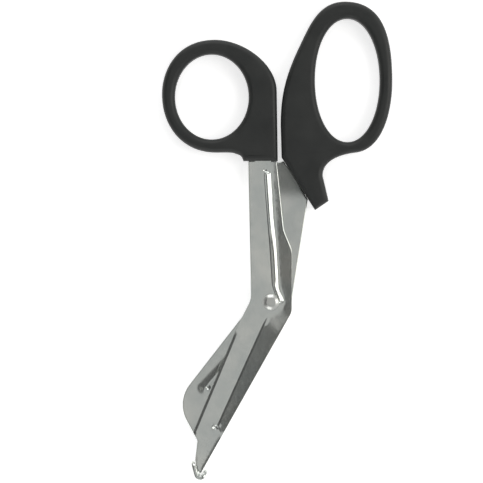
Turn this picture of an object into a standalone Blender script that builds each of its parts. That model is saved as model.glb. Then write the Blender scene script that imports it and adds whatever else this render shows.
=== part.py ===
"""Bandage shears, closed and lying flat.

Two stamped steel halves turn on one rivet, and each shank carries a moulded finger loop.
The front half is the thumb shank with the lower blade, whose tip is formed into a blunt foot.
The back half is the finger shank with the upper blade, which has a round belly.
X runs across the shears, Y from the blades to the loops and Z up through the two sheets.
The origin is on the pivot's axis, in the plane that the shears lie on.
"""
import math

import bmesh
import bpy
from mathutils import Matrix, Vector
from mathutils.geometry import interpolate_bezier, intersect_line_line_2d

# Driving dimensions, in millimetres and degrees
MM = 0.001
SHEET = 1.8
CLEARANCE = 0.3
STAMPED_EDGE = 0.2
HANDLE_THICKNESS = 8.0
HANDLE_ROUNDING = 2.1

# The rivet: its pin, the flat head in front and the formed tail behind
PIN_RADIUS = 1.9
PIN_PLAY = 0.15
RIVET_SEAT = 0.15
HEAD_RADIUS = 2.75
HEAD_HEIGHT = 1.0
TAIL_RADIUS = 2.8
RIM_ROUNDING = 0.5

# The thumb loop: its oval opening, the bands round it and the mouth that takes the shank.
# Pulls are the lengths of a curve's handles before and after a point.
THUMB_HOLE = (-22.8, 79.0)
THUMB_HOLE_HALF_WIDTH = 14.2
THUMB_HOLE_HALF_HEIGHT = 16.4
THUMB_BAND_LEFT = 5.0
THUMB_BAND_TOP = 5.6
THUMB_BAND_BOTTOM = 5.0
THUMB_MOUTH_LEFT = (-10.6, 54.3)
THUMB_MOUTH_RIGHT = (2.6, 54.3)
THUMB_INNER_EDGE = (2.2, 81.3)
THUMB_STEP = (-14.0, 57.3)
THUMB_STEP_END = (-11.1, 55.5)
THUMB_TOP_SHIFT = 1.2
THUMB_LEFT_SHIFT = 1.0
THUMB_BOTTOM_SHIFT = 1.6
THUMB_INNER_PULLS = (8.0, 10.3)
THUMB_TOP_PULLS = (11.3, 14.0)
THUMB_LEFT_PULLS = (10.2, 12.4)
THUMB_BOTTOM_PULLS = (13.0, 2.5)
THUMB_STEP_PULLS = (1.5, 1.5)
THUMB_STEP_END_PULLS = (1.2, 0.5)

# The finger loop: a tall oval opening, its bands and the guard that runs down the shank
FINGER_HOLE = (29.4, 85.4)
FINGER_HOLE_HALF_WIDTH = 12.5
FINGER_HOLE_HALF_HEIGHT = 23.8
FINGER_BAND_RIGHT = 4.8
FINGER_BAND_TOP = 6.5
FINGER_BAND_BOTTOM = 4.0
FINGER_MOUTH_TOP = (4.1, 55.7)
FINGER_MOUTH_LOW = (17.0, 35.4)
GUARD_TIP = (22.2, 38.9)
GUARD_NECK = (19.9, 48.5)
FINGER_INNER_EDGE = (3.75, 68.2)
FINGER_SHOULDER = (11.4, 99.4)
FINGER_HOLE_FULLNESS = 0.57
FINGER_BOTTOM_SHIFT = 3.3
FINGER_RIGHT_SHIFT = -0.6
FINGER_TOP_SHIFT = -0.9
GUARD_NECK_PULLS = (5.0, 6.1)
FINGER_BOTTOM_PULLS = (5.6, 10.6)
FINGER_RIGHT_PULLS = (10.8, 15.1)
FINGER_TOP_PULLS = (15.9, 10.2)
FINGER_SHOULDER_PULLS = (7.6, 13.1)
FINGER_INNER_PULLS = (11.9, 6.0)

# The tangs inside the loops, with the plastic pins that lock them
TANG_WIDTH = 6.4
TANG_CORNER = 1.5
SHOULDER_RADIUS = 0.5
THUMB_TANG_LENGTH = 17.0
THUMB_TANG_HEADING = 90.0
FINGER_TANG_LENGTH = 20.0
FINGER_TANG_HEADING = 93.0
LOCK_PIN_RADIUS = 1.4
LOCK_PIN_DEPTH = 11.0
POCKET_MOUTH = 9.0

# The front half: thumb shank, lower blade and its tip
SHANK_LEFT_X = -8.8
SHANK_RIGHT_X = 2.3
FRONT_WAIST = (5.0, 27.7)
FRONT_HIP = (8.0, 20.5)
SPINE_CORNER = (8.0, -3.9)
LOWER_TIP = (-28.0, -67.6)
LOWER_TIP_SIDE = (-29.2, -60.8)
LOWER_NECK = (-28.3, -53.3)
LOWER_EDGE_END = (-30.0, -50.2)
LOWER_EDGE_HEEL = (-12.4, -8.2)
FRONT_THROAT = (-7.7, 1.0)
THROAT_RADIUS = 8.0
LOWER_EDGE_HEEL_RADIUS = 1.0
LOWER_EDGE_END_RADIUS = 0.5
LOWER_NECK_RADIUS = 2.0
LOWER_TIP_RADIUS = 0.3
SPINE_CORNER_RADIUS = 5.0
FRONT_HIP_RADIUS = 8.0
FRONT_WAIST_RADIUS = 12.0

# The back half: finger shank and upper blade
BACK_SHOULDERS = (1.6, 19.0)
UPPER_THROAT = (-4.3, 3.1)
UPPER_BELLY = (-36.5, -38.4)
UPPER_BELLY_RADIUS = 12.6
UPPER_TIP = (-27.0, -55.9)
UPPER_EDGE_HEEL = (7.6, -2.4)
UPPER_TIP_RADIUS = 0.8
UPPER_EDGE_HEEL_RADIUS = 4.0

# Ground cutting edges
GRIND_WIDTH = 1.0
EDGE_LAND = 0.9
GRIND_RUN_OUT = 3.0

# Stamped ribs: each is raised on the outer face of its sheet and hollow on the inner one
RIB_HEIGHT = 0.9
RIB_ROUNDING = 0.6
HOLLOW_ROUNDING = 0.3
RIB_WALL = 0.6
LOWER_RIB_TOP = (0.6, -8.5)
LOWER_RIB_LOW = (-19.65, -48.3)
LOWER_RIB_RADII = (3.2, 1.15)
LOWER_RIB_LEAN = 7.0
THUMB_RIB_TOP = (-1.0, 48.6)
THUMB_RIB_LOW = (1.9, 9.0)
THUMB_RIB_RADIUS = 1.55
THUMB_BEAD_TOP = ((-2.75, 51.3), (0.6, 51.3))
THUMB_BEAD_BEND = ((0.3, 6.8), (3.9, 7.0))
THUMB_BEAD_END = ((4.0, -1.9), (6.3, -1.3))
THUMB_BEAD_TOP_RADIUS = 1.3
THUMB_BEAD_BEND_RADIUS = 6.0
THUMB_BEAD_END_RADIUS = 1.0
UPPER_RIB_TOP = (-9.0, -11.8)
UPPER_RIB_LOW = (-25.6, -33.1)
UPPER_RIB_RADII = (2.6, 3.1)
FINGER_RIB_TOP = (3.2, 34.0)
FINGER_RIB_LOW = (-0.4, 9.5)
FINGER_RIB_RADIUS = 1.5

# The foot: a ledge across the tip, bent from the same sheet
FOOT_GAUGE = 1.5
FOOT_WIDTH = 7.6
FOOT_HEEL = (-25.0, -64.9)
FOOT_NOSE = (-27.7, -70.3)
FOOT_CURL = (-30.2, -61.4)
FOOT_NOSE_RADIUS = 1.5
FOOT_END_WIDTH = 2.4

# Levels of the two sheets
MATING_Z = HANDLE_THICKNESS / 2
FRONT_Z = MATING_Z + CLEARANCE / 2 + SHEET / 2
BACK_Z = MATING_Z - CLEARANCE / 2 - SHEET / 2

# Smoothness of the curves
CURVE_STEPS = 8
ARC_STEP = 15.0
ROUND_SEGMENTS = 32
HANDLE_STEPS = 2
RIB_STEPS = 1
FOOT_STEP = 0.7


# Scene and materials


def clear_scene():
    for obj in list(bpy.data.objects):
        bpy.data.objects.remove(obj, do_unlink=True)


def new_collection(name):
    collection = bpy.data.collections.new(name)
    bpy.context.scene.collection.children.link(collection)
    return collection


def new_material(name, colour, metallic, roughness):
    material = bpy.data.materials.new(name)
    material.use_nodes = True
    shader = material.node_tree.nodes["Principled BSDF"]
    shader.inputs["Base Color"].default_value = (*colour, 1.0)
    shader.inputs["Metallic"].default_value = metallic
    shader.inputs["Roughness"].default_value = roughness
    return material


# Outlines: a list of corners and smooth points, joined into one closed line


def corner(point, radius=0.0):
    """A corner of two straight edges, rounded to a radius."""
    return {"at": Vector(point), "radius": radius}


def smooth(point, heading, back, ahead):
    """A point that a curve passes at a heading, with the lengths of its two handles."""
    at = Vector(point)
    direction = unit(heading)
    return {"at": at, "in": at - direction * back, "out": at + direction * ahead}


def unit(heading):
    return Vector((math.cos(math.radians(heading)), math.sin(math.radians(heading))))


def fillet(before, at, after, radius):
    """Points along the arc that rounds a corner."""
    to_before = (before - at).normalized()
    to_after = (after - at).normalized()
    half_angle = to_before.angle(to_after) / 2
    centre = at + (to_before + to_after).normalized() * (radius / math.sin(half_angle))
    start = at + to_before * (radius / math.tan(half_angle)) - centre
    end = at + to_after * (radius / math.tan(half_angle)) - centre
    turn = math.atan2(start.cross(end), start.dot(end))
    steps = max(2, math.ceil(abs(math.degrees(turn)) / ARC_STEP))
    return [centre + Matrix.Rotation(turn * i / steps, 2) @ start for i in range(steps + 1)]


def trace(stations):
    """The points of the closed outline through a list of corners and smooth points."""
    points = []
    for index, station in enumerate(stations):
        before = stations[index - 1]
        after = stations[(index + 1) % len(stations)]
        if station.get("radius"):
            points += fillet(before["at"], station["at"], after["at"], station["radius"])
        else:
            points.append(station["at"])
        if "out" in station and "in" in after:
            curve = interpolate_bezier(
                station["at"], station["out"], after["in"], after["at"], CURVE_STEPS + 1,
            )
            points += [point.to_2d() for point in curve[1:-1]]
    return points


def oval(centre, half_width, half_height, fullness=0.5523):
    """An oval opening; a fullness above 0.5523 squares its shoulders a little."""
    x, y = centre
    across = half_width * fullness
    along = half_height * fullness
    return trace([
        smooth((x + half_width, y), 90, along, along),
        smooth((x, y + half_height), 180, across, across),
        smooth((x - half_width, y), 270, along, along),
        smooth((x, y - half_height), 0, across, across),
    ])


def stadium(start, end, start_radius, end_radius):
    """The outline round two circles: a straight groove that may narrow from one to the other."""
    start = Vector(start)
    end = Vector(end)
    along = end - start
    heading = math.degrees(math.atan2(along.y, along.x))
    spread = math.degrees(math.acos((start_radius - end_radius) / along.length))
    far = arc(start, start_radius, heading + spread, heading + 360 - spread)
    near = arc(end, end_radius, heading - spread, heading + spread)
    return far + near


def arc(centre, radius, first, last):
    steps = math.ceil((last - first) / ARC_STEP)
    return [centre + unit(first + (last - first) * i / steps) * radius for i in range(steps + 1)]


# Solids


def mesh_object(name, mesh, collection):
    obj = bpy.data.objects.new(name, mesh)
    collection.objects.link(obj)
    return obj


def to_mesh(curve_object):
    """Replaces a curve object by its welded mesh."""
    bpy.context.view_layer.update()
    depsgraph = bpy.context.evaluated_depsgraph_get()
    mesh = bpy.data.meshes.new_from_object(curve_object.evaluated_get(depsgraph))
    bm = bmesh.new()
    bm.from_mesh(mesh)
    bmesh.ops.remove_doubles(bm, verts=bm.verts, dist=0.001 * MM)
    bm.to_mesh(mesh)
    bm.free()
    name = curve_object.name
    collection = curve_object.users_collection[0]
    matrix = curve_object.matrix_world.copy()
    bpy.data.objects.remove(curve_object, do_unlink=True)
    solid = mesh_object(name, mesh, collection)
    solid.matrix_world = matrix
    return solid


def slab(name, outlines, low, high, rounding, collection, steps=0):
    """A flat piece between two levels, with rounded rims."""
    curve = bpy.data.curves.new(name, "CURVE")
    curve.dimensions = "2D"
    curve.fill_mode = "BOTH"
    curve.extrude = ((high - low) / 2 - rounding) * MM
    curve.bevel_depth = rounding * MM
    curve.bevel_resolution = steps
    curve.offset = -rounding * MM
    for outline in outlines:
        spline = curve.splines.new("POLY")
        spline.points.add(len(outline) - 1)
        for point, (x, y) in zip(spline.points, outline):
            point.co = (x * MM, y * MM, 0.0, 1.0)
        spline.use_cyclic_u = True
    obj = bpy.data.objects.new(name, curve)
    obj.location.z = (low + high) / 2 * MM
    collection.objects.link(obj)
    return to_mesh(obj)


def cylinder(name, radius, low, high, centre, collection):
    bm = bmesh.new()
    bmesh.ops.create_cone(
        bm, cap_ends=True, segments=ROUND_SEGMENTS,
        radius1=radius * MM, radius2=radius * MM, depth=(high - low) * MM,
    )
    mesh = bpy.data.meshes.new(name)
    bm.to_mesh(mesh)
    bm.free()
    obj = mesh_object(name, mesh, collection)
    obj.location = (centre[0] * MM, centre[1] * MM, (low + high) / 2 * MM)
    return obj


def combine(target, operation, tool):
    """Adds a Boolean to a piece and hides its tool."""
    boolean = target.modifiers.new(f"{operation.lower()} {tool.name}", "BOOLEAN")
    boolean.operation = operation
    boolean.solver = "EXACT"
    boolean.object = tool
    tool.hide_render = True
    tool.display_type = "WIRE"


# Tangs and shoulders, shared by the steel halves and the loops


def thumb_shoulders():
    """The right and left ends of the front sheet's shoulder, just below the loop's mouth."""
    y = THUMB_MOUTH_RIGHT[1] - CLEARANCE
    return Vector((SHANK_RIGHT_X, y)), Vector((SHANK_LEFT_X, y))


def finger_shoulders():
    """The right and left ends of the back sheet's shoulder, along the slanted mouth."""
    top = Vector(FINGER_MOUTH_TOP)
    along = (Vector(FINGER_MOUTH_LOW) - top).normalized()
    away = Vector((along.y, -along.x)) * CLEARANCE
    left, right = BACK_SHOULDERS
    return top + along * right + away, top + along * left + away


def tang_box(shoulders, heading, length, grow=0.0, mouth=0.0):
    """Four corners of a tang: up its right side, then down its left side."""
    right, left = shoulders
    root = (right + left) / 2
    along = unit(heading)
    across = Vector((along.y, -along.x)) * (TANG_WIDTH / 2 + grow)
    low = root - along * mouth
    high = root + along * (length + grow)
    return [low + across, high + across, high - across, low - across]


def tang_stations(shoulders, heading, length):
    """A sheet's outline over its shoulder and round its tang."""
    right, left = shoulders
    box = tang_box(shoulders, heading, length, mouth=length)
    right_root = intersect_line_line_2d(box[0], box[1], right, left)
    left_root = intersect_line_line_2d(box[3], box[2], right, left)
    return [
        corner(right, SHOULDER_RADIUS),
        corner(right_root),
        corner(box[1], TANG_CORNER),
        corner(box[2], TANG_CORNER),
        corner(left_root),
        corner(left, SHOULDER_RADIUS),
    ]


def lock_pin_centre(shoulders, heading):
    right, left = shoulders
    return (right + left) / 2 + unit(heading) * LOCK_PIN_DEPTH


# Steel halves


def front_outline():
    """The thumb shank with its tang, and the lower blade down to its tip."""
    return trace(tang_stations(thumb_shoulders(), THUMB_TANG_HEADING, THUMB_TANG_LENGTH) + [
        corner(FRONT_THROAT, THROAT_RADIUS),
        corner(LOWER_EDGE_HEEL, LOWER_EDGE_HEEL_RADIUS),
        corner(LOWER_EDGE_END, LOWER_EDGE_END_RADIUS),
        corner(LOWER_NECK, LOWER_NECK_RADIUS),
        corner(LOWER_TIP_SIDE, LOWER_TIP_RADIUS),
        corner(LOWER_TIP, LOWER_TIP_RADIUS),
        corner(SPINE_CORNER, SPINE_CORNER_RADIUS),
        corner(FRONT_HIP, FRONT_HIP_RADIUS),
        corner(FRONT_WAIST, FRONT_WAIST_RADIUS),
    ])


def back_outline():
    """The finger shank with its tang, and the upper blade with its round belly."""
    return trace(tang_stations(finger_shoulders(), FINGER_TANG_HEADING, FINGER_TANG_LENGTH) + [
        corner(UPPER_THROAT, THROAT_RADIUS),
        corner(UPPER_BELLY, UPPER_BELLY_RADIUS),
        corner(UPPER_TIP, UPPER_TIP_RADIUS),
        corner(UPPER_EDGE_HEEL, UPPER_EDGE_HEEL_RADIUS),
    ])


def ground_edge(name, start, end, sheet_z, outward, collection):
    """The block that grinds a cutting edge: it slopes from the edge's land to the outer face."""
    start = Vector(start)
    end = Vector(end)
    along = (end - start).normalized()
    inward = along.orthogonal()
    if inward.dot(start) > 0:
        inward.negate()
    rise = SHEET - EDGE_LAND
    slope = (inward * GRIND_WIDTH).to_3d() + Vector((0.0, 0.0, outward * rise))
    slope.normalize()
    axis = along.to_3d()
    normal = axis.cross(slope)
    if normal.z * outward < 0:
        axis.negate()
        normal.negate()
    lead = GRIND_WIDTH
    size = Vector(((end - start).length + 2 * GRIND_RUN_OUT, 3 * GRIND_WIDTH, 3 * SHEET))
    edge = ((start + end) / 2).to_3d()
    edge.z = sheet_z + outward * (SHEET / 2 - rise)
    centre = edge + slope * (size.y / 2 - lead) + normal * (size.z / 2)
    bm = bmesh.new()
    bmesh.ops.create_cube(bm, size=1.0)
    bmesh.ops.scale(bm, verts=bm.verts, vec=size * MM)
    mesh = bpy.data.meshes.new(name)
    bm.to_mesh(mesh)
    bm.free()
    block = mesh_object(name, mesh, collection)
    turn = Matrix((axis, slope, normal)).transposed()
    block.matrix_world = Matrix.Translation(centre * MM) @ turn.to_4x4()
    return block


def press_rib(half, name, bead, hollow, sheet_z, outward, cutters, lean=None):
    """Presses a rib: a raised bead on the sheet's outer face and a hollow on its inner one.

    A lean is a line's two ends and an angle: the rib tips about that line, so that it
    stands proud along the line and runs out into the sheet on the other side.
    """
    outer = sheet_z + outward * SHEET / 2
    inner = sheet_z - outward * SHEET / 2
    bead_levels = sorted((sheet_z, outer + outward * RIB_HEIGHT))
    hollow_levels = sorted((inner - outward * SHEET, inner + outward * RIB_HEIGHT))
    raised = slab(f"{name}_bead", [bead], *bead_levels, RIB_ROUNDING, cutters, RIB_STEPS)
    sunk = slab(f"{name}_hollow", [hollow], *hollow_levels, HOLLOW_ROUNDING, cutters)
    if lean:
        tip_about(raised, *lean, outer)
        tip_about(sunk, *lean, inner)
    combine(half, "UNION", raised)
    combine(half, "DIFFERENCE", sunk)


def tip_about(obj, start, end, angle, level):
    """Turns an object by an angle about a level line through two points."""
    pivot = Vector((start[0], start[1], level)) * MM
    axis = Vector((end[0] - start[0], end[1] - start[1], 0.0))
    turn = Matrix.Rotation(math.radians(angle), 4, axis)
    obj.matrix_world = Matrix.Translation(pivot) @ turn @ Matrix.Translation(-pivot) @ obj.matrix_world


def foot_path():
    """Evenly spaced points along the foot: down its heel, round its nose and up its curl."""
    heel = Vector(FOOT_HEEL)
    curl = Vector(FOOT_CURL)
    nose = fillet(heel, Vector(FOOT_NOSE), curl, FOOT_NOSE_RADIUS)
    line = [heel] + nose + [curl]
    lengths = [(b - a).length for a, b in zip(line, line[1:])]
    count = round(sum(lengths) / FOOT_STEP)
    points = []
    for index in range(count + 1):
        left = sum(lengths) * index / count
        segment = 0
        while segment < len(lengths) - 1 and left > lengths[segment]:
            left -= lengths[segment]
            segment += 1
        points.append(line[segment].lerp(line[segment + 1], left / lengths[segment]))
    return points, sum(lengths)


def foot(collection):
    """The foot as a bent strip: a ribbon that narrows to round ends, given its gauge."""
    points, length = foot_path()
    profile = bpy.data.curves.new("foot_profile", "CURVE")
    profile_line = profile.splines.new("POLY")
    profile_line.points.add(1)
    profile_line.points[0].co = (0.0, -FOOT_WIDTH / 2 * MM, 0.0, 1.0)
    profile_line.points[1].co = (0.0, FOOT_WIDTH / 2 * MM, 0.0, 1.0)
    profile_object = bpy.data.objects.new("foot_profile", profile)
    collection.objects.link(profile_object)
    ribbon = bpy.data.curves.new("foot", "CURVE")
    ribbon.dimensions = "2D"
    ribbon.fill_mode = "NONE"
    ribbon.bevel_mode = "OBJECT"
    ribbon.bevel_object = profile_object
    spline = ribbon.splines.new("POLY")
    spline.points.add(len(points) - 1)
    for index, (point, place) in enumerate(zip(spline.points, points)):
        distance = length * index / (len(points) - 1)
        to_end = min(distance, length - distance)
        inside = min(1.0, (to_end + FOOT_END_WIDTH / 4) / (FOOT_WIDTH / 2))
        point.co = (place.x * MM, place.y * MM, 0.0, 1.0)
        point.radius = math.sqrt(1.0 - (1.0 - inside) ** 2)
    obj = bpy.data.objects.new("foot", ribbon)
    obj.location.z = MATING_Z * MM
    collection.objects.link(obj)
    strip = to_mesh(obj)
    bpy.data.objects.remove(profile_object, do_unlink=True)
    solidify = strip.modifiers.new("gauge", "SOLIDIFY")
    solidify.thickness = FOOT_GAUGE * MM
    solidify.offset = 0.0
    solidify.use_even_offset = True
    return strip


def rib(top, low, radii, wall=0.0):
    """A straight rib's outline, or with a wall that of the hollow behind it."""
    return stadium(top, low, radii[0] - wall, radii[1] - wall)


def rib_side(top, low, radii):
    """The two ends of a rib's left side, seen from the front."""
    along = Vector(low) - Vector(top)
    across = Vector((along.y, -along.x)).normalized()
    return Vector(top) + across * radii[0], Vector(low) + across * radii[1]


def front_shank_rib():
    """The narrow rib down the thumb shank, which passes beside the rivet's head."""
    top_left, top_right = THUMB_BEAD_TOP
    bend_left, bend_right = THUMB_BEAD_BEND
    end_left, end_right = THUMB_BEAD_END
    return trace([
        corner(top_left, THUMB_BEAD_TOP_RADIUS),
        corner(bend_left, THUMB_BEAD_BEND_RADIUS),
        corner(end_left, THUMB_BEAD_END_RADIUS),
        corner(end_right, THUMB_BEAD_END_RADIUS),
        corner(bend_right, THUMB_BEAD_BEND_RADIUS),
        corner(top_right, THUMB_BEAD_TOP_RADIUS),
    ])


def lower_blade(parts, cutters, steel):
    half = slab("lower_blade", [front_outline()], FRONT_Z - SHEET / 2, FRONT_Z + SHEET / 2,
                STAMPED_EDGE, parts)
    half.data.materials.append(steel)
    lean = (*rib_side(LOWER_RIB_TOP, LOWER_RIB_LOW, LOWER_RIB_RADII), LOWER_RIB_LEAN)
    press_rib(half, "lower_blade_rib", rib(LOWER_RIB_TOP, LOWER_RIB_LOW, LOWER_RIB_RADII),
              rib(LOWER_RIB_TOP, LOWER_RIB_LOW, LOWER_RIB_RADII, RIB_WALL),
              FRONT_Z, 1, cutters, lean)
    thumb_radii = (THUMB_RIB_RADIUS, THUMB_RIB_RADIUS)
    press_rib(half, "thumb_shank_rib", front_shank_rib(),
              rib(THUMB_RIB_TOP, THUMB_RIB_LOW, thumb_radii, RIB_WALL), FRONT_Z, 1, cutters)
    combine(half, "UNION", foot(cutters))
    combine(half, "DIFFERENCE", ground_edge(
        "lower_edge_grind", LOWER_EDGE_HEEL, LOWER_EDGE_END, FRONT_Z, 1, cutters))
    add_hole(half, "pivot", PIN_RADIUS + PIN_PLAY, (0.0, 0.0), FRONT_Z, cutters)
    add_hole(half, "lock_pin", LOCK_PIN_RADIUS + CLEARANCE,
             lock_pin_centre(thumb_shoulders(), THUMB_TANG_HEADING), FRONT_Z, cutters)
    return half


def upper_blade(parts, cutters, steel):
    half = slab("upper_blade", [back_outline()], BACK_Z - SHEET / 2, BACK_Z + SHEET / 2,
                STAMPED_EDGE, parts)
    half.data.materials.append(steel)
    finger_radii = (FINGER_RIB_RADIUS, FINGER_RIB_RADIUS)
    for name, top, low, radii in (
        ("upper_blade_rib", UPPER_RIB_TOP, UPPER_RIB_LOW, UPPER_RIB_RADII),
        ("finger_shank_rib", FINGER_RIB_TOP, FINGER_RIB_LOW, finger_radii),
    ):
        press_rib(half, name, rib(top, low, radii), rib(top, low, radii, RIB_WALL),
                  BACK_Z, -1, cutters)
    combine(half, "DIFFERENCE", ground_edge(
        "upper_edge_grind", UPPER_EDGE_HEEL, UPPER_TIP, BACK_Z, -1, cutters))
    add_hole(half, "pivot", PIN_RADIUS + PIN_PLAY, (0.0, 0.0), BACK_Z, cutters)
    add_hole(half, "lock_pin", LOCK_PIN_RADIUS + CLEARANCE,
             lock_pin_centre(finger_shoulders(), FINGER_TANG_HEADING), BACK_Z, cutters)
    return half


def add_hole(half, purpose, radius, centre, sheet_z, cutters):
    drill = cylinder(f"{half.name}_{purpose}_drill", radius, sheet_z - SHEET, sheet_z + SHEET,
                     centre, cutters)
    combine(half, "DIFFERENCE", drill)


# Rivet


def pivot_rivet(parts, steel):
    """The rivet, turned about Z: its profile runs down the outer side from the head."""
    head_seat = FRONT_Z + SHEET / 2 + RIVET_SEAT
    head_top = head_seat + HEAD_HEIGHT
    tail_seat = BACK_Z - SHEET / 2 - RIVET_SEAT
    soft = RIM_ROUNDING
    mid = soft * (1 - math.sqrt(0.5))
    profile = [
        (0.0, head_top),
        (HEAD_RADIUS - soft, head_top),
        (HEAD_RADIUS - mid, head_top - mid),
        (HEAD_RADIUS, head_top - soft),
        (HEAD_RADIUS, head_seat),
        (PIN_RADIUS, head_seat),
        (PIN_RADIUS, tail_seat),
        (TAIL_RADIUS, tail_seat),
        (TAIL_RADIUS, soft),
        (TAIL_RADIUS - mid, mid),
        (TAIL_RADIUS - soft, 0.0),
        (0.0, 0.0),
    ]
    mesh = bpy.data.meshes.new("pivot_rivet")
    edges = [(i, i + 1) for i in range(len(profile) - 1)]
    mesh.from_pydata([(r * MM, 0.0, z * MM) for r, z in profile], edges, [])
    rivet = mesh_object("pivot_rivet", mesh, parts)
    screw = rivet.modifiers.new("turned", "SCREW")
    screw.steps = ROUND_SEGMENTS
    screw.render_steps = ROUND_SEGMENTS
    screw.use_merge_vertices = True
    screw.merge_threshold = 0.00001
    screw.use_normal_calculate = False
    rivet.data.materials.append(steel)
    return rivet


# Moulded loops


def thumb_outline():
    """The thumb loop: round at the left, with a straight inner edge down to its mouth."""
    x, y = THUMB_HOLE
    top = Vector((x + THUMB_TOP_SHIFT, y + THUMB_HOLE_HALF_HEIGHT + THUMB_BAND_TOP))
    left = Vector((x - THUMB_HOLE_HALF_WIDTH - THUMB_BAND_LEFT, y + THUMB_LEFT_SHIFT))
    bottom = Vector((x + THUMB_BOTTOM_SHIFT, y - THUMB_HOLE_HALF_HEIGHT - THUMB_BAND_BOTTOM))
    return trace([
        corner(THUMB_MOUTH_RIGHT),
        smooth(THUMB_INNER_EDGE, 90.8, *THUMB_INNER_PULLS),
        smooth(top, 180, *THUMB_TOP_PULLS),
        smooth(left, 270, *THUMB_LEFT_PULLS),
        smooth(bottom, 0, *THUMB_BOTTOM_PULLS),
        smooth(THUMB_STEP, -20, *THUMB_STEP_PULLS),
        smooth(THUMB_STEP_END, -70, *THUMB_STEP_END_PULLS),
        corner(THUMB_MOUTH_LEFT),
    ])


def finger_outline():
    """The finger loop: its slanted mouth, the guard, the neck and round the tall loop."""
    x, y = FINGER_HOLE
    bottom = Vector((x + FINGER_BOTTOM_SHIFT, y - FINGER_HOLE_HALF_HEIGHT - FINGER_BAND_BOTTOM))
    right = Vector((x + FINGER_HOLE_HALF_WIDTH + FINGER_BAND_RIGHT, y + FINGER_RIGHT_SHIFT))
    top = Vector((x + FINGER_TOP_SHIFT, y + FINGER_HOLE_HALF_HEIGHT + FINGER_BAND_TOP))
    return trace([
        corner(FINGER_MOUTH_TOP),
        corner(FINGER_MOUTH_LOW),
        corner(GUARD_TIP),
        smooth(GUARD_NECK, 92, *GUARD_NECK_PULLS),
        smooth(bottom, 6, *FINGER_BOTTOM_PULLS),
        smooth(right, 90, *FINGER_RIGHT_PULLS),
        smooth(top, 180, *FINGER_TOP_PULLS),
        smooth(FINGER_SHOULDER, 244, *FINGER_SHOULDER_PULLS),
        smooth(FINGER_INNER_EDGE, 270, *FINGER_INNER_PULLS),
    ])


def moulded_loop(name, outline, opening, shoulders, heading, length, sheet_z, parts, cutters, plastic):
    """A loop with its finger opening, the pocket for its tang and the pin that locks it."""
    loop = slab(name, [outline, opening], 0.0, HANDLE_THICKNESS, HANDLE_ROUNDING, parts, HANDLE_STEPS)
    loop.data.materials.append(plastic)
    pocket_half = SHEET / 2 + CLEARANCE
    box = tang_box(shoulders, heading, length, CLEARANCE, POCKET_MOUTH)
    pocket_outline = trace([
        corner(box[0]),
        corner(box[1], TANG_CORNER + CLEARANCE),
        corner(box[2], TANG_CORNER + CLEARANCE),
        corner(box[3]),
    ])
    pocket = slab(f"{name}_pocket", [pocket_outline], sheet_z - pocket_half, sheet_z + pocket_half,
                  0.0, cutters)
    pin = cylinder(f"{name}_lock_pin", LOCK_PIN_RADIUS, sheet_z - SHEET, sheet_z + SHEET,
                   lock_pin_centre(shoulders, heading), cutters)
    combine(loop, "DIFFERENCE", pocket)
    combine(loop, "UNION", pin)
    return loop


def thumb_handle(parts, cutters, plastic):
    opening = oval(THUMB_HOLE, THUMB_HOLE_HALF_WIDTH, THUMB_HOLE_HALF_HEIGHT)
    return moulded_loop("thumb_handle", thumb_outline(), opening, thumb_shoulders(),
                        THUMB_TANG_HEADING, THUMB_TANG_LENGTH, FRONT_Z, parts, cutters, plastic)


def finger_handle(parts, cutters, plastic):
    opening = oval(FINGER_HOLE, FINGER_HOLE_HALF_WIDTH, FINGER_HOLE_HALF_HEIGHT,
                   FINGER_HOLE_FULLNESS)
    return moulded_loop("finger_handle", finger_outline(), opening, finger_shoulders(),
                        FINGER_TANG_HEADING, FINGER_TANG_LENGTH, BACK_Z, parts, cutters, plastic)


# Assembly


def main():
    clear_scene()
    parts = new_collection("bandage_shears")
    cutters = new_collection("cutters")
    steel = new_material("polished_steel", (0.62, 0.63, 0.61), 1.0, 0.28)
    plastic = new_material("black_plastic", (0.035, 0.037, 0.036), 0.0, 0.42)
    pivot = bpy.data.objects.new("upper_half_pivot", None)
    pivot.empty_display_size = HEAD_RADIUS * MM
    parts.objects.link(pivot)
    lower_blade(parts, cutters, steel)
    pivot_rivet(parts, steel)
    thumb_handle(parts, cutters, plastic)
    for moving in (upper_blade(parts, cutters, steel), finger_handle(parts, cutters, plastic)):
        moving.parent = pivot


main()
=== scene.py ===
"""Bandage shears, closed and lying on a white table, seen from straight above.

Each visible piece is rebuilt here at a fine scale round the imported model: the two pressed steel
halves, the rivet that joins them and the two moulded loops.
Lengths are in millimetres until a mesh is made, which is in metres.
"""
import math

import bmesh
import bpy
from mathutils import Matrix, Vector
from mathutils.geometry import delaunay_2d_cdt, interpolate_bezier, intersect_line_line_2d
from mathutils.kdtree import KDTree


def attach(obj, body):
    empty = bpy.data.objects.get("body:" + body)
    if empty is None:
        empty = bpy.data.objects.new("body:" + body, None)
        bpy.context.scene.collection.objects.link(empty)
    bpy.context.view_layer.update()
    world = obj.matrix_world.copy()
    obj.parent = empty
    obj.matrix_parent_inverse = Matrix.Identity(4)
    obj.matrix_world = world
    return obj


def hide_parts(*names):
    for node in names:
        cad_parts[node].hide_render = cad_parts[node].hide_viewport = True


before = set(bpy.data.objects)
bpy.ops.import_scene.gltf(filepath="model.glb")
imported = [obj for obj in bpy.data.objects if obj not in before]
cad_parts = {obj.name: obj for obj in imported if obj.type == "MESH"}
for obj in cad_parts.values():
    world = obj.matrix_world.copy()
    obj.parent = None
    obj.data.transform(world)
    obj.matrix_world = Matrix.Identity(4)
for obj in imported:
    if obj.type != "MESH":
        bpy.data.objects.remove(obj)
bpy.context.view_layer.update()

# Dimensions shared with the CAD model, in millimetres and degrees
MM = 0.001
SHEET = 1.8
CLEARANCE = 0.3
HANDLE_THICKNESS = 8.0
HANDLE_ROUNDING = 2.1
PIN_RADIUS = 1.9
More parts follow.
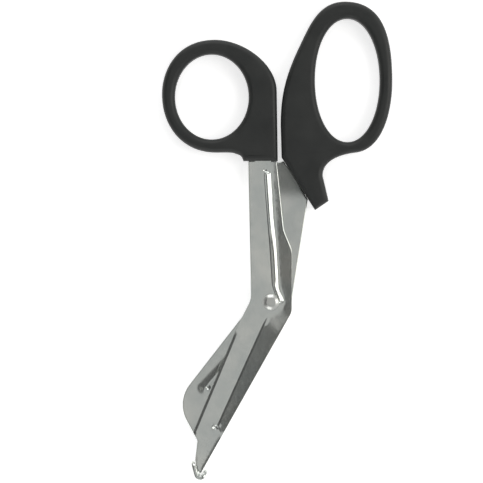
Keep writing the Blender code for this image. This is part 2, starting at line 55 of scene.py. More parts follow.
PIN_PLAY = 0.15
RIVET_SEAT = 0.15
HEAD_RADIUS = 2.75
HEAD_HEIGHT = 1.0
TAIL_RADIUS = 2.8

THUMB_HOLE = (-22.8, 79.0)
THUMB_HOLE_HALF_WIDTH = 14.2
THUMB_HOLE_HALF_HEIGHT = 16.4
ROUND_FULLNESS = 0.5523
THUMB_BAND_LEFT = 5.0
THUMB_BAND_TOP = 5.6
THUMB_BAND_BOTTOM = 5.0
THUMB_MOUTH_LEFT = (-10.6, 54.3)
THUMB_MOUTH_RIGHT = (2.6, 54.3)
THUMB_INNER_EDGE = (2.2, 81.3)
THUMB_STEP = (-14.0, 57.3)

FINGER_HOLE = (29.4, 85.4)
FINGER_HOLE_HALF_WIDTH = 12.5
FINGER_HOLE_HALF_HEIGHT = 23.8
FINGER_HOLE_FULLNESS = 0.57
FINGER_BAND_RIGHT = 4.8
FINGER_BAND_TOP = 6.5
FINGER_BAND_BOTTOM = 4.0
FINGER_MOUTH_TOP = (4.1, 55.7)
FINGER_MOUTH_LOW = (17.0, 35.4)
GUARD_TIP = (22.2, 38.9)
GUARD_NECK = (19.9, 48.5)
FINGER_INNER_EDGE = (3.75, 68.2)
FINGER_SHOULDER = (11.4, 99.4)

TANG_WIDTH = 6.4
TANG_CORNER = 1.5
POCKET_MOUTH = 9.0

# Each tang's heading and length
THUMB_TANG = (90.0, 17.0)
FINGER_TANG = (93.0, 20.0)

SHANK_LEFT_X = -8.8
SHANK_RIGHT_X = 2.3
FRONT_WAIST = (5.0, 27.7)
FRONT_HIP = (8.0, 20.5)
SPINE_CORNER = (8.0, -3.9)
LOWER_TIP = (-28.0, -67.6)
LOWER_TIP_SIDE = (-29.2, -60.8)
LOWER_NECK = (-28.3, -53.3)
LOWER_EDGE_END = (-30.0, -50.2)
LOWER_EDGE_HEEL = (-12.4, -8.2)
FRONT_THROAT = (-7.7, 1.0)

BACK_SHOULDERS = (1.6, 19.0)
UPPER_THROAT = (-4.3, 3.1)
UPPER_BELLY = (-36.5, -38.4)
UPPER_BELLY_RADIUS = 12.6
UPPER_TIP = (-27.0, -55.9)
UPPER_EDGE_HEEL = (7.6, -2.4)

GRIND_WIDTH = 1.0

RIB_HEIGHT = 0.9
RIB_WALL = 0.6

# Each rib: the centres of its top and its low end, and the ends' radii
LOWER_RIB = ((0.6, -8.5), (-19.65, -48.3), 3.2, 1.15)
THUMB_RIB = ((-1.0, 48.6), (1.9, 9.0), 1.55, 1.55)
UPPER_RIB = ((-9.0, -11.8), (-25.6, -33.1), 2.6, 3.1)
FINGER_RIB = ((3.2, 34.0), (-0.4, 9.5), 1.5, 1.5)

FOOT_GAUGE = 1.5
FOOT_WIDTH = 7.6
FOOT_HEEL = (-25.0, -64.9)
FOOT_NOSE = (-27.7, -70.3)
FOOT_CURL = (-30.2, -61.4)
FOOT_NOSE_RADIUS = 1.5
FOOT_END_WIDTH = 2.4

PIN_HOLE = PIN_RADIUS + PIN_PLAY
MATING_Z = HANDLE_THICKNESS / 2
FRONT_Z = MATING_Z + CLEARANCE / 2 + SHEET / 2
BACK_Z = MATING_Z - CLEARANCE / 2 - SHEET / 2

# The corners of each half's outline below its shoulders, with their radii: the CAD model's, and
# one where the back sheet reaches in under the front one, just below the thumb loop's mouth
FRONT_CORNERS = [
    (FRONT_THROAT, 8.0), (LOWER_EDGE_HEEL, 1.0), (LOWER_EDGE_END, 0.5), (LOWER_NECK, 2.0),
    (LOWER_TIP_SIDE, 0.3), (LOWER_TIP, 0.3), (SPINE_CORNER, 5.0), (FRONT_HIP, 8.0),
    (FRONT_WAIST, 12.0),
]
BACK_CORNERS = [
    ((1.8, 53.6), 0.5), (UPPER_THROAT, 8.0), (UPPER_BELLY, UPPER_BELLY_RADIUS), (UPPER_TIP, 0.8),
    (UPPER_EDGE_HEEL, 4.0),
]
SHOULDER_RADIUS = 0.5

# The sheets' shoulders come nearer to the loops' mouths than in the CAD model
SHOULDER_GAP = 0.08

# How finely this scene draws what the CAD model draws coarsely
CURVE_STEPS = 28
ARC_STEP = 5.0
LOOP_RIM_STEPS = 7
BLANKED_RINGS = 5
PRESSED_RINGS = 12
EDGE_SPACING = 1.6
PRESSED_SPACING = 1.0
GRID_SPACING = 1.6
FIRST_ROW = 0.3
FOOT_STEP = 0.35
FOOT_CORNER_STEPS = 4
TAIL_STEPS = 6
TURNED_SEGMENTS = 72
MARK_SEGMENTS = 24

# How near to a rim lines and grid points may lie, and to a wall grid points; how near to a crease
# the line lies that holds it; how far a sharp corner is mitred; and what counts as one point
LINE_MARGIN = 0.12
GRID_MARGIN = 0.3
WALL_MARGIN = 0.35
HOLD = 0.06
MITRE_LIMIT = 0.6
REPEAT = 0.02
SAME_POINT = 1e-5

# Edges that turn by more than these angles are left sharp
CREASE_ANGLE = 20.0
LOOP_CREASE_ANGLE = 35.0
RIVET_CREASE_ANGLE = 40.0

# The rims' rounding: on faces that show from the front, on those that don't, and along the low
# part of the spine, which is nearly sharp; none takes more than a share of the sheet that is left
BLANKED_RADIUS = 0.38
INNER_RADIUS = 0.22
SPINE_RADIUS = 0.035
SPINE_RADIUS_BELOW = 22.0
SPINE_RADIUS_FADE = 4.0
SPINE_LEAN = 0.6
ROUNDING_SHARE = 0.4
HOLE_EDGE = 0.2

# The ground edges: how deep, and over what lengths they fade in at the heel and out at the end
GRIND_DROP = 0.46
GRIND_RUN_IN = 9.0
GRIND_RUN_OUT = 4.0

# How far the pressed forms' walls reach outside and inside their outlines
RIB_RUNS = (0.35, 0.85)
HOLLOW_RUNS = (0.35, 0.4)
GROOVE_RUNS = (0.35, 3.6)
LOWER_RIB_RUNS = (0.45, 0.6)
SHANK_RIB_RUNS = (0.45, 0.9)

# The shank's rib: its corners with their radii, and its crest, which lies nearer to its left side
# above and to its right side below
SHANK_RIB_CORNERS = [
    ((-2.45, 50.0), 1.0), ((0.5, 6.8), 6.0), ((3.0, -0.5), 0.8), ((5.2, 0.1), 0.8),
    ((2.8, 7.0), 6.0), ((0.4, 50.0), 1.2),
]
SHANK_RIDGE = [
    (-2.1, 49.6), (-2.0, 46.9), (-1.5, 39.0), (-0.7, 31.1), (0.2, 23.3), (0.4, 15.4),
    (0.9, 8.0), (1.4, 4.5), (3.3, 0.6),
]

# The crest's height and the slopes of its two sides at places along the shears; its right side
# bends down further out
RIDGE_HEIGHTS = [(50.0, 0.85), (41.0, 0.85), (33.0, 0.62), (26.0, 0.6), (18.0, 0.5), (8.5, 0.5),
                 (4.0, 0.7)]
RIDGE_LEFT_SLOPES = [(50.0, 6.0), (40.0, 8.0), (33.0, 17.0), (10.0, 20.0)]
RIDGE_RIGHT_SLOPES = [(50.0, 20.0), (26.0, 18.0), (18.0, 8.0), (8.5, 9.0), (5.0, 22.0)]
RIDGE_BEND = (0.55, 0.3)
LEAST_CREST = 0.03

# The spine's side of the front half: its face falls away from this line, by a slope that
# depends on the place along the shears; below the rivet the line follows the blade's rib
SPINE_FOLD = [
    (0.75, 54.0), (1.1, 45.0), (2.2, 31.0), (3.1, 17.0), (3.7, 7.5), (5.6, 0.0), (4.4, -3.2),
    (1.0, -5.4), (-2.2, -6.9),
]
SPINE_SLOPES = [(54.0, 4.5), (40.0, 5.0), (25.0, 6.5), (15.0, 7.5), (-6.0, 7.0), (-50.0, 7.0)]

# The spine's margin slopes a little more than the face beside it, most at the tip
SPINE_MARGIN = 0.9
MARGIN_SLOPES = [(-6.0, 0.0), (-16.0, 4.5), (-50.0, 4.5), (-54.0, 11.0), (-70.0, 11.0)]

# Beside the finger loop's mouth the back sheet's face slopes down to the right
BACK_FOLD = [(1.0, 56.0), (1.4, 38.0)]
BACK_SLOPES = [(56.0, 5.5), (44.0, 5.5), (38.0, 0.0), (37.0, 0.0)]
FAR_RIGHT = 30.0

# The lower blade's rib: its crown reaches the spine, and its top runs out beside the rivet
LOWER_CROWN = 0.42
LOWER_RIB_START = 5.5
LOWER_RIB_END = (-18.2, -51.6)
LOWER_RIB_FADE = (-3.5, 6.0)
BEYOND_SPINE = [(-14.0, -53.0), (12.0, -6.0), (6.0, -1.0)]

# The shown face of the upper blade has a shallow groove that widens to a round end
UPPER_GROOVE = ((-11.3, -16.4), (-25.5, -33.2), 1.8, 3.0)
UPPER_GROOVE_DEPTH = 0.55

# Small round marks of the press: centre, radius and depth, and the share that their walls take
TOE_MARK = ((-21.4, -48.2), 1.4, 0.42)
SHANK_MARK = ((-2.3, 50.7), 0.8, 0.22)
GROOVE_MARK = ((-24.3, -33.0), 1.1, 0.3)
MARK_WALL = 0.9

# The foot's rounded edges; its ends are thinned to a share of its gauge over a length
FOOT_ROUNDING = 0.38
FOOT_END_SHARE = 0.55
FOOT_THINNING = 1.2

# The rivet's head is wider than the CAD model's: its face as radii and depths below its top, its
# rim as distances in from its widest and depths; then the edges at the seats and the tail
HEAD_ROLL = 0.3
HEAD_FACE = [(0.0, 0.05), (0.8, 0.05), (1.4, 0.01), (1.7, 0.0), (1.85, 0.04)]
HEAD_RIM = [(0.12, 0.72), (0.03, 0.8), (0.0, 0.88)]
SEAT_EDGE = 0.04
TAIL_EDGE = 0.06
TAIL_ROUNDING = 0.42

# The steel's light and dark tones and the range of its roughness, and the plastic's tones
FRONT_STEEL = ((0.70, 0.71, 0.665), (0.54, 0.575, 0.555), (0.17, 0.25))
BACK_STEEL = ((0.67, 0.68, 0.64), (0.51, 0.545, 0.525), (0.17, 0.25))
RIVET_STEEL = ((0.66, 0.67, 0.64), (0.60, 0.61, 0.58), (0.28, 0.38))
PLASTIC_TONES = ((0.018, 0.0198, 0.019), (0.025, 0.0268, 0.0255))

# The photograph's frame on the table, in millimetres
VIEW_CENTRE = (-11.37, 23.31)
VIEW_WIDTH = 186.1
CAMERA_HEIGHT = 1200.0
SENSOR_WIDTH = 36.0

# The white table, as X and Z of two sides and its reach along Y, and the room's light; lengths on
# the stage are in metres
TABLE = ((-4.0, 0.0), (4.0, 0.0), (-4.0, 4.0))
TABLE_DROP = 0.00005
TABLE_GREY = 0.86
TABLE_GLOW = 0.6
ROOM_LIGHT = 0.62

# Each soft box: its place, aim, size, radiance and colour
SOFT_BOXES = {
    "soft_box_right": ((1.25, 0.15, 1.1), (0.0, 0.02, 0.0), (0.9, 1.4), 2.0, (1.0, 0.98, 0.94)),
    "soft_box_back": ((-0.1, 1.5, 0.9), (0.0, 0.02, 0.0), (1.4, 0.6), 2.4, (1.0, 1.0, 1.0)),
    "soft_box_front": ((-0.35, -1.4, 0.75), (0.0, 0.0, 0.0), (1.0, 0.4), 2.4, (1.0, 1.0, 1.0)),
}

# Each dark card, which keeps light off one side: the same as for the table, and its grey
CARDS = {
    "card_over_right": ((0.26, 1.8), (0.9, 1.7), (-1.1, 0.9), 0.08),
    "card_left": ((-0.75, 1.6), (-1.38, 0.6), (-0.9, 1.3), 0.12),
}


# Outlines: a list of corners and smooth points, joined into one closed line


def corner(point, radius=0.0):
    """A corner of two straight edges, rounded to a radius."""
    return {"at": Vector(point), "radius": radius}


def corners(places):
    """Rounded corners from pairs of a point and a radius."""
    return [corner(point, radius) for point, radius in places]


def smooth(point, heading, back, ahead):
    """A point that a curve passes at a heading, with the lengths of its two handles."""
    at = Vector(point)
    direction = unit(heading)
    return {"at": at, "in": at - direction * back, "out": at + direction * ahead}


def unit(heading):
    return Vector((math.cos(math.radians(heading)), math.sin(math.radians(heading))))


def fillet(before, at, after, radius):
    """Points along the arc that rounds a corner."""
    to_before = (before - at).normalized()
    to_after = (after - at).normalized()
    half_angle = to_before.angle(to_after) / 2
    centre = at + (to_before + to_after).normalized() * (radius / math.sin(half_angle))
    start = at + to_before * (radius / math.tan(half_angle)) - centre
    end = at + to_after * (radius / math.tan(half_angle)) - centre
    turn = math.atan2(start.cross(end), start.dot(end))
    steps = max(2, math.ceil(abs(math.degrees(turn)) / ARC_STEP))
    return [centre + Matrix.Rotation(turn * i / steps, 2) @ start for i in range(steps + 1)]


def trace(stations):
    """The points of the closed outline through a list of corners and smooth points."""
    points = []
    for index, station in enumerate(stations):
        before = stations[index - 1]
        after = stations[(index + 1) % len(stations)]
        if station.get("radius"):
            points += fillet(before["at"], station["at"], after["at"], station["radius"])
        else:
            points.append(station["at"])
        if "out" in station and "in" in after:
            curve = interpolate_bezier(
                station["at"], station["out"], after["in"], after["at"], CURVE_STEPS + 1,
            )
            points += [point.to_2d() for point in curve[1:-1]]
    return points


def oval(centre, half_width, half_height, fullness=ROUND_FULLNESS):
    """An oval opening; a fullness above the round one squares its shoulders a little."""
    x, y = centre
    across = half_width * fullness
    along = half_height * fullness
    return trace([
        smooth((x + half_width, y), 90, along, along),
        smooth((x, y + half_height), 180, across, across),
        smooth((x - half_width, y), 270, along, along),
        smooth((x, y - half_height), 0, across, across),
    ])


def stadium(start, end, start_radius, end_radius):
    """The outline round two circles: a straight groove that may narrow from one to the other."""
    start = Vector(start)
    end = Vector(end)
    along = end - start
    heading = math.degrees(math.atan2(along.y, along.x))
    spread = math.degrees(math.acos((start_radius - end_radius) / along.length))
    far = arc(start, start_radius, heading + spread, heading + 360 - spread)
    near = arc(end, end_radius, heading - spread, heading + spread)
    return far + near


def arc(centre, radius, first, last):
    steps = math.ceil((last - first) / (2 * ARC_STEP))
    return [centre + unit(first + (last - first) * i / steps) * radius for i in range(steps + 1)]


def circle(centre, radius, count=64):
    return [Vector(centre) + unit(360 * i / count) * radius for i in range(count)]


def open_line(points, spacing):
    """An open line with points added, so that none are further apart than the spacing."""
    line = [Vector(point) for point in points]
    result = [line[0]]
    for start, end in zip(line, line[1:]):
        pieces = max(1, math.ceil((end - start).length / spacing))
        result += [start.lerp(end, i / pieces) for i in range(1, pieces + 1)]
    return result


def closed_line(loop, spacing):
    """The same for a closed line, without its repeated points."""
    kept = [at for index, at in enumerate(loop) if (at - loop[index - 1]).length > REPEAT]
    return open_line(kept + kept[:1], spacing)[:-1]


def inset(loop, distances):
    """A counter-clockwise closed line moved inwards by one distance for each of its points."""
    result = []
    for index, at in enumerate(loop):
        before = (at - loop[index - 1]).normalized()
        after = (loop[(index + 1) % len(loop)] - at).normalized()
        along = (before + after).normalized()
        stretch = distances[index] / max(MITRE_LIMIT, along.dot(after))
        result.append(at + Vector((-along.y, along.x)) * stretch)
    return result


class Line:
    """A line of points, open or closed, that can tell how far away a point is."""

    def __init__(self, points, closed=True):
        self.points = [(point[0], point[1]) for point in points]
        self.closed = closed
        self.low = [min(values) for values in zip(*self.points)]
        self.high = [max(values) for values in zip(*self.points)]
        self.longest = max(
            math.dist(self.points[index - 1], self.points[index])
            for index in range(0 if closed else 1, len(self.points))
        )
        self.tree = KDTree(len(self.points))
        for index, (x, y) in enumerate(self.points):
            self.tree.insert((x, y, 0.0), index)
        self.tree.balance()

    def distance(self, point):
        """The distance from a point, found among the segments that lie nearest to it."""
        x, y = point
        least = self.tree.find((x, y, 0.0))[2]
        reach = least + self.longest / 2 + 1e-6
        for _, index, _ in self.tree.find_range((x, y, 0.0), reach):
            for first in (index - 1, index):
                second = (first + 1) % len(self.points)
                if not self.closed and second == 0:
                    continue
                least = min(least, self.off_segment(x, y, self.points[first], self.points[second]))
        return least

    @staticmethod
    def off_segment(x, y, start, end):
        along_x = end[0] - start[0]
        along_y = end[1] - start[1]
        length = along_x * along_x + along_y * along_y
        share = ((x - start[0]) * along_x + (y - start[1]) * along_y) / length
        share = min(1.0, max(0.0, share))
        return math.hypot(start[0] + along_x * share - x, start[1] + along_y * share - y)

    def near(self, point, reach):
        """Whether a point lies within the line's box, or this close to it."""
        x, y = point
        return (self.low[0] - reach < x < self.high[0] + reach
                and self.low[1] - reach < y < self.high[1] + reach)

    def holds(self, point):
        """Whether a point lies within the closed line."""
        if not self.near(point, 0.0):
            return False
        x, y = point
        odd = False
        for index, (bx, by) in enumerate(self.points):
            ax, ay = self.points[index - 1]
            if (ay > y) != (by > y) and x < (bx - ax) * (y - ay) / (by - ay) + ax:
                odd = not odd
        return odd


def ease(share):
    """Rises smoothly from 0 to 1 with level ends."""
    share = min(1.0, max(0.0, share))
    return share * share * (3 - 2 * share)


def swell(share):
    """Rises smoothly from a level start to a crisp end."""
    share = min(1.0, max(0.0, share))
    return share * share * (2 - share)


# Meshes


def add_object(name, data):
    obj = bpy.data.objects.new(name, data)
    bpy.context.scene.collection.objects.link(obj)
    return obj


def piece(name, mesh, body, node, material):
    """Adds a mesh as a piece that rides on a body and stands for a CAD node."""
    obj = add_object(name, mesh)
    mesh.materials.append(material)
    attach(obj, body)
    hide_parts(node)
    return obj


def between(stations, value):
    """The value that a falling list of stations gives at a place."""
    for (high, first), (low, second) in zip(stations, stations[1:]):
        if value >= low:
            share = min(1.0, max(0.0, (high - value) / (high - low)))
            return first + (second - first) * share
    return stations[-1][1]


def rounding(distance, radius):
    """How far a rounded edge lies below its face, this far in from the edge."""
    if distance >= radius:
        return 0.0
    return radius - math.sqrt(max(0.0, radius ** 2 - (radius - distance) ** 2))


def metres(name, vertices, faces, tidy=0.0):
    """A smooth-shaded mesh in metres from points in millimetres."""
    mesh = bpy.data.meshes.new(name)
    mesh.from_pydata([tuple(v * MM for v in vertex) for vertex in vertices], [], faces)
    bm = bmesh.new()
    bm.from_mesh(mesh)
    if tidy:
        bmesh.ops.remove_doubles(bm, verts=bm.verts, dist=tidy * MM)
        bmesh.ops.dissolve_degenerate(bm, edges=bm.edges, dist=tidy * MM)
    bmesh.ops.recalc_face_normals(bm, faces=bm.faces)
    bm.to_mesh(mesh)
    bm.free()
    mesh.shade_smooth()
    return mesh


class Rib:
    """A form pressed into a sheet: its outline and its profile across the wall.

    Its height is a number, or heights at places along the shears where it has a ridge.
    """

    def __init__(self, outline, height, run_in, run_up, ridge=None, fade=None, profile=ease):
        self.outline = closed_line(outline, PRESSED_SPACING)
        self.rim = Line(self.outline)
        self.height = height
        self.run_in = run_in
        self.run_up = run_up
        self.ridge = Line(open_line(ridge, PRESSED_SPACING), closed=False) if ridge else None
        self.fade = fade
        self.profile = profile

    def lines(self):
        """The lines along the wall, and along any ridge, that the mesh follows."""
        span = self.run_in + self.run_up
        for step in range(PRESSED_RINGS + 1):
            distance = span * step / PRESSED_RINGS - self.run_in
            ring = inset(self.outline, [distance] * len(self.outline))
            yield ring + ring[:1]
        if self.ridge:
            yield [Vector(point) for point in self.ridge.points]

    def strength(self, point):
        """From 0 to 1, where the form has yet to reach its full height."""
        if not self.fade:
            return 1.0
        start, length = self.fade
        return ease((start - point.y) / length)

    def crest(self, point):
        """The height that the form reaches at a point, which falls off from its ridge."""
        if not self.ridge:
            return self.height
        away = self.ridge.distance(point)
        on_left = self.left_of_ridge(point)
        slopes = RIDGE_LEFT_SLOPES if on_left else RIDGE_RIGHT_SLOPES
        fall = away * math.tan(math.radians(between(slopes, point.y)))
        if not on_left:
            first, growth = RIDGE_BEND
            fall *= first + growth * away
        return max(LEAST_CREST, between(self.height, point.y) - fall)

    def left_of_ridge(self, point):
        """Whether a point lies left of the ridge, which runs from the top down."""
        for (ax, ay), (bx, by) in zip(self.ridge.points, self.ridge.points[1:]):
            if point.y >= by:
                return (bx - ax) * (point.y - ay) - (by - ay) * (point.x - ax) < 0
        return False

    def rise(self, point):
        """The height that the form gives the sheet's face at any point."""
        if not self.rim.near(point, self.run_in):
            return 0.0
        distance = self.rim.distance(point)
        if not self.rim.holds(point):
            distance = -distance
        share = (distance + self.run_in) / (self.run_in + self.run_up)
        if share <= 0:
            return 0.0
        return self.crest(point) * self.profile(share) * self.strength(point)


class Draw:
    """Where pressing the ribs has drawn the sheet's face down on one side of a fold."""

    def __init__(self, fold, slopes):
        points = open_line(fold, PRESSED_SPACING)
        beyond = [Vector((FAR_RIGHT, points[-1].y)), Vector((FAR_RIGHT, points[0].y))]
        self.fold = Line(points, closed=False)
        self.side = Line(points + beyond)
        self.slopes = slopes

    def lines(self):
        yield [Vector(point) for point in self.fold.points]

    def drop(self, point):
        if not self.side.holds(point):
            return 0.0
        slope = math.tan(math.radians(between(self.slopes, point.y)))
        return slope * self.fold.distance(point)


class Grind:
    """A ground cutting edge: a slope from the edge's land up to the face of the sheet."""

    def __init__(self, start, end):
        self.start = Vector(start)
        span = Vector(end) - self.start
        self.along = span.normalized()
        self.length = span.length
        self.inward = self.along.orthogonal()
        if self.inward.dot(self.start) > 0:
            self.inward.negate()

    def drop(self, point):
        off = (point - self.start).dot(self.inward)
        place = (point - self.start).dot(self.along)
        fade = ease(place / GRIND_RUN_IN)
        fade *= ease((self.length + GRIND_RUN_OUT - place) / GRIND_RUN_OUT)
        return GRIND_DROP * fade * min(1.0, max(0.0, 1 - off / GRIND_WIDTH))

    def lines(self):
        """Lines of points along the slope, closest where it breaks into the face."""
        length = self.length + 2 * GRIND_RUN_OUT
        count = round(length / EDGE_SPACING)
        for off in (0.5 * GRIND_WIDTH, GRIND_WIDTH - HOLD, GRIND_WIDTH, GRIND_WIDTH + HOLD):
            first = self.start + self.inward * off
            yield [
                first + self.along * (length * i / count - GRIND_RUN_OUT)
                for i in range(count + 1)
            ]


class Face:
    """One face of a sheet, whose level at any point follows from the forms pressed into it."""

    def __init__(self, outline, ribs, radius, cuts, spine=False):
        self.outline = outline
        self.rim = Line(outline)
        self.ribs = ribs
        self.radius = radius
        self.spine = spine
        self.cuts = cuts

    def spine_share(self, point):
        """From 0 to 1 along the lower part of the spine, where the rim is left sharp."""
        if not self.spine or point.x < -SPINE_LEAN * (SPINE_RADIUS_BELOW - point.y):
            return 0.0
        return ease((SPINE_RADIUS_BELOW - point.y) / SPINE_RADIUS_FADE)

    def rim_radius(self, point):
        return self.radius + (SPINE_RADIUS - self.radius) * self.spine_share(point)

    def level(self, point):
        """The height above the flat face of the sheet."""
        fallen = sum(cut.drop(point) for cut in self.cuts)
        raised = sum(rib.rise(point) for rib in self.ribs)
        distance = self.rim.distance(point)
        radius = min(self.rim_radius(point), ROUNDING_SHARE * (SHEET - fallen))
        fallen += rounding(distance, radius)
        slope = math.tan(math.radians(between(MARGIN_SLOPES, point.y)))
        fallen += slope * max(0.0, SPINE_MARGIN - distance) * self.spine_share(point)
        return raised - fallen - rounding(point.length - PIN_HOLE, HOLE_EDGE)

    def free(self, point, margin):
        """Whether a point lies on the face, clear of its rim and of the pin's hole."""
        if not self.rim.holds(point) or self.rim.distance(point) < self.radius + margin:
            return False
        return point.length > PIN_HOLE + HOLE_EDGE + margin

    def edge_rings(self):
        """The rings that follow the rounding of the rim and of the hole, outermost first."""
        turns = [math.pi / 2 * step / BLANKED_RINGS for step in range(BLANKED_RINGS + 1)]
        radii = [self.rim_radius(point) for point in self.outline]
        for step, turn in enumerate(turns):
            share = 1 - math.cos(turn)
            yield step, inset(self.outline, [radius * share for radius in radii])
        yield BLANKED_RINGS + 1, inset(self.outline, [radius + HOLD for radius in radii])
        for step, turn in enumerate(turns):
            yield step, circle((0.0, 0.0), PIN_HOLE + HOLE_EDGE * (1 - math.cos(turn)))

    def grid(self):
        """Points in rows, set half a step off in every other row."""
        columns = math.ceil((self.rim.high[0] - self.rim.low[0]) / GRID_SPACING)
        rows = math.ceil((self.rim.high[1] - self.rim.low[1]) / GRID_SPACING)
        for row in range(rows):
            for column in range(columns):
                across = (column + 0.5 * (row % 2)) * GRID_SPACING
                along = (row + FIRST_ROW) * GRID_SPACING
                yield Vector((self.rim.low[0] + across, self.rim.low[1] + along))

    def mesh(self):
        """The face's points, levels and triangles, and the rings that its walls start from."""
        points = []
        edges = []
        walls = []
        for step, ring in self.edge_rings():
            first = len(points)
            points.extend(ring)
            edges.extend((first + i, first + (i + 1) % len(ring)) for i in range(len(ring)))
            if step == 0:
                walls.append(range(first, first + len(ring)))
        lines = [line for form in self.ribs + self.cuts for line in form.lines()]
        if self.spine:
            lines.append(inset(self.outline, [SPINE_MARGIN] * len(self.outline)))
        for line in lines:
            last = None
            for point in line:
                if not self.free(point, LINE_MARGIN):
                    last = None
                    continue
                points.append(point)
                if last is not None:
                    edges.append((last, len(points) - 1))
                last = len(points) - 1
        for point in self.grid():
            if self.free(point, GRID_MARGIN) and not self.near_wall(point):
                points.append(point)
        made, _, faces, origins, _, _ = delaunay_2d_cdt(points, edges, [], 0, SAME_POINT)
        made = [Vector(point) for point in made]
        place_of = {source: place for place, sources in enumerate(origins) for source in sources}
        walls = [[place_of[index] for index in wall] for wall in walls]
        kept = [tuple(face) for face in faces if not self.outside(face, walls)]
        return made, [self.level(point) for point in made], kept, walls

    def near_wall(self, point):
        """Whether the lines along a form's wall already lie this close."""
        for rib in self.ribs:
            if rib.rim.near(point, rib.run_in + WALL_MARGIN):
                within = rib.run_up if rib.rim.holds(point) else rib.run_in
                if rib.rim.distance(point) < within + WALL_MARGIN:
                    return True
        return False

    @staticmethod
    def outside(face, walls):
        """Whether a triangle fills a bay of the rim, or the hole.

        Such a triangle has its three corners on one ring. It's outside the rim where it runs
        against the rim's order, and in a hole where it runs with the hole's order.
        """
        for number, wall in enumerate(walls):
            order = {place: index for index, place in enumerate(wall)}
            if all(place in order for place in face):
                a, b, c = (order[place] for place in face)
                with_ring = (a < b < c) or (b < c < a) or (c < a < b)
                return with_ring if number else not with_ring
        return False


def pressed_half(name, sheet_z, outer, inner):
    """A stamped sheet with both its faces, the wall round its rim and the wall of its hole.

    The outer and the inner face each come with the sign of the side that they are on.
    """
    vertices = []
    faces = []
    sides = []
    for face, side in (outer, inner):
        points, levels, triangles, walls = face.mesh()
        first = len(vertices)
        for point, level in zip(points, levels):
            vertices.append((point.x, point.y, sheet_z + side * (SHEET / 2 + level)))
        faces += [tuple(first + i for i in triangle) for triangle in triangles]
        sides.append([[first + i for i in wall] for wall in walls])
    for upper, lower in zip(*sides):
        count = len(upper)
        faces += [
            (upper[i], upper[(i + 1) % count], lower[(i + 1) % count], lower[i])
            for i in range(count)
        ]
    mesh = metres(name, vertices, faces)
    mesh.set_sharp_from_angle(angle=math.radians(CREASE_ANGLE))
    return mesh


def turned(name, profile):
    """A solid of revolution about Z from its profile's radii and levels."""
    vertices = [
        (point.x, point.y, level)
        for radius, level in profile
        for point in circle((0.0, 0.0), radius, TURNED_SEGMENTS)
    ]
    return metres(name, vertices, tube_faces(len(profile), TURNED_SEGMENTS), tidy=0.002)


def tube_faces(rows, count):
    """The faces between neighbouring rows of points, each row closed on itself."""
    faces = []
    for low in range(0, (rows - 1) * count, count):
        for i in range(count):
            j = (i + 1) % count
            faces.append((low + i, low + j, low + count + j, low + count + i))
    return faces


def foot_path():
    """Evenly spaced points along the foot: down its heel, round its nose and up its curl."""
    heel = Vector(FOOT_HEEL)
    curl = Vector(FOOT_CURL)
    line = [heel] + fillet(heel, Vector(FOOT_NOSE), curl, FOOT_NOSE_RADIUS) + [curl]
    lengths = [(b - a).length for a, b in zip(line, line[1:])]
    count = round(sum(lengths) / FOOT_STEP)
    points = []
    for index in range(count + 1):
        left = sum(lengths) * index / count
        segment = 0
        while segment < len(lengths) - 1 and left > lengths[segment]:
            left -= lengths[segment]
            segment += 1
        points.append(line[segment].lerp(line[segment + 1], min(1.0, left / lengths[segment])))
    return points, sum(lengths)


def foot_mesh():
    """The foot: a strip bent across the tip, with rounded edges and round ends."""
    points, length = foot_path()
    section = [
        90 * quarter + 90 * step / FOOT_CORNER_STEPS
        for quarter in range(4) for step in range(FOOT_CORNER_STEPS + 1)
    ]
    vertices = []
    for index, place in enumerate(points):
        before = points[max(0, index - 1)]
        after = points[min(len(points) - 1, index + 1)]
        along = (after - before).normalized()
        across = Vector((along.y, -along.x))
        distance = length * index / (len(points) - 1)
        to_end = min(distance, length - distance)
        near = min(1.0, (to_end + FOOT_END_WIDTH / 4) / (FOOT_WIDTH / 2))
        half_width = FOOT_WIDTH / 2 * math.sqrt(1 - (1 - near) ** 2)
        thin = min(1.0, FOOT_END_SHARE + to_end / FOOT_THINNING)
        half_gauge = FOOT_GAUGE / 2 * thin
        soft = FOOT_ROUNDING * thin
        for angle in section:
            side = unit(angle)
            out = math.copysign(half_gauge - soft, side.x) + side.x * soft
            up = math.copysign(half_width - soft, side.y) + side.y * soft
            point = place + across * out
            vertices.append((point.x, point.y, MATING_Z + up))
    count = len(section)
    faces = tube_faces(len(points), count)
    faces.append(tuple(range(count)))
    faces.append(tuple(len(vertices) - 1 - i for i in range(count)))
    return metres("foot", vertices, faces)


def slab(name, outlines, low, high, radius, steps):
    """A flat piece between two levels, with rounded rims, as a mesh object."""
    curve = bpy.data.curves.new(name, "CURVE")
    curve.dimensions = "2D"
    curve.fill_mode = "BOTH"
    curve.extrude = ((high - low) / 2 - radius) * MM
    curve.bevel_depth = radius * MM
    curve.bevel_resolution = steps
    curve.offset = -radius * MM
    for outline in outlines:
        spline = curve.splines.new("POLY")
        spline.points.add(len(outline) - 1)
        for point, (x, y) in zip(spline.points, outline):
            point.co = (x * MM, y * MM, 0.0, 1.0)
        spline.use_cyclic_u = True
    shape = add_object(name, curve)
    bpy.context.view_layer.update()
    graph = bpy.context.evaluated_depsgraph_get()
    mesh = bpy.data.meshes.new_from_object(shape.evaluated_get(graph))
    bpy.data.objects.remove(shape, do_unlink=True)
    bpy.data.curves.remove(curve)
    mesh.transform(Matrix.Translation((0.0, 0.0, (low + high) / 2 * MM)))
    bm = bmesh.new()
    bm.from_mesh(mesh)
    bmesh.ops.remove_doubles(bm, verts=bm.verts, dist=0.001 * MM)
    bmesh.ops.recalc_face_normals(bm, faces=bm.faces)
    bm.to_mesh(mesh)
    bm.free()
    return mesh


